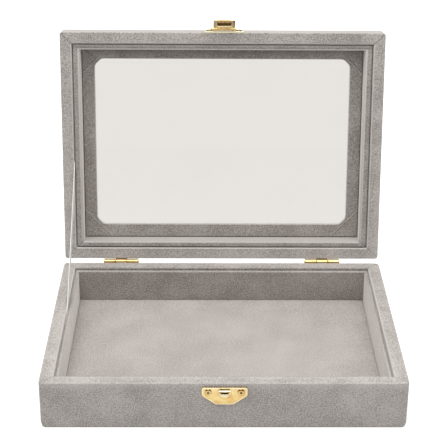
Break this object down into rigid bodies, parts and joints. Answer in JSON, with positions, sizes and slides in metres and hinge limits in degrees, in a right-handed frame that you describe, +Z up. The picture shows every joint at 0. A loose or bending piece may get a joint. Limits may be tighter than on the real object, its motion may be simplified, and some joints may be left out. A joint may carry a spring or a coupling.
{
  "type": "jewelry display box",
  "caption": "Open velvet-covered jewelry box with a shallow tray, hinged glass-window lid, ribbon stay and gold drop latch.",
  "frame": {"origin": "centre of the underside of the tray, on the surface it stands on", "axes": "+Z up, -Y towards the latch at the front, +X to the right seen from the front"},
  "size_m": [0.2, 0.1926, 0.1822],
  "materials": {
    "velvet_board": "matte",
    "velvet_card": "matte",
    "velvet": "matte",
    "glass": "gloss",
    "ribbon": "satin",
    "gold_metal": "polished"
  },
  "bodies": {
    "base": {"base_front_rail": "velvet_board", "base_back_rail": "velvet_board", "base_left_rail": "velvet_board", "base_right_rail": "velvet_board", "base_bottom_board": "velvet_board", "underside_sheet": "velvet", "base_front_liner": "velvet_card", "base_back_liner": "velvet_card", "base_left_liner": "velvet_card", "base_right_liner": "velvet_card", "floor_pad": "velvet", "catch_plate": "gold_metal", "catch_nails": "gold_metal", "hinge_left_base_leaf": "gold_metal", "hinge_right_base_leaf": "gold_metal", "hinge_left_pin": "gold_metal", "hinge_right_pin": "gold_metal", "lid_ribbon": "ribbon"},
    "lid": {"lid_front_rail": "velvet_board", "lid_back_rail": "velvet_board", "lid_left_rail": "velvet_board", "lid_right_rail": "velvet_board", "lid_top_frame": "velvet_board", "glass_pane": "glass", "window_surround": "velvet_card", "lid_lip_front": "velvet_card", "lid_lip_back": "velvet_card", "lid_lip_left": "velvet_card", "lid_lip_right": "velvet_card", "hinge_left_lid_leaf": "gold_metal", "hinge_right_lid_leaf": "gold_metal", "latch_plate": "gold_metal", "latch_nails": "gold_metal", "latch_pin": "gold_metal"},
    "hasp": {"latch_flap": "gold_metal"}
  },
  "joints": [
    {"name": "lid_hinge", "type": "hinge", "parent": "base", "child": "lid", "pos_m": [0, 0.0744, 0.028], "axis": [-1, 0, 0], "range_deg": [-100, 0], "deforming": ["lid_ribbon"]},
    {"name": "latch_hinge", "type": "hinge", "parent": "lid", "child": "hasp", "pos_m": [0, 0.10157, 0.174], "axis": [-1, 0, 0], "range_deg": [-32, 118]}
  ]
}
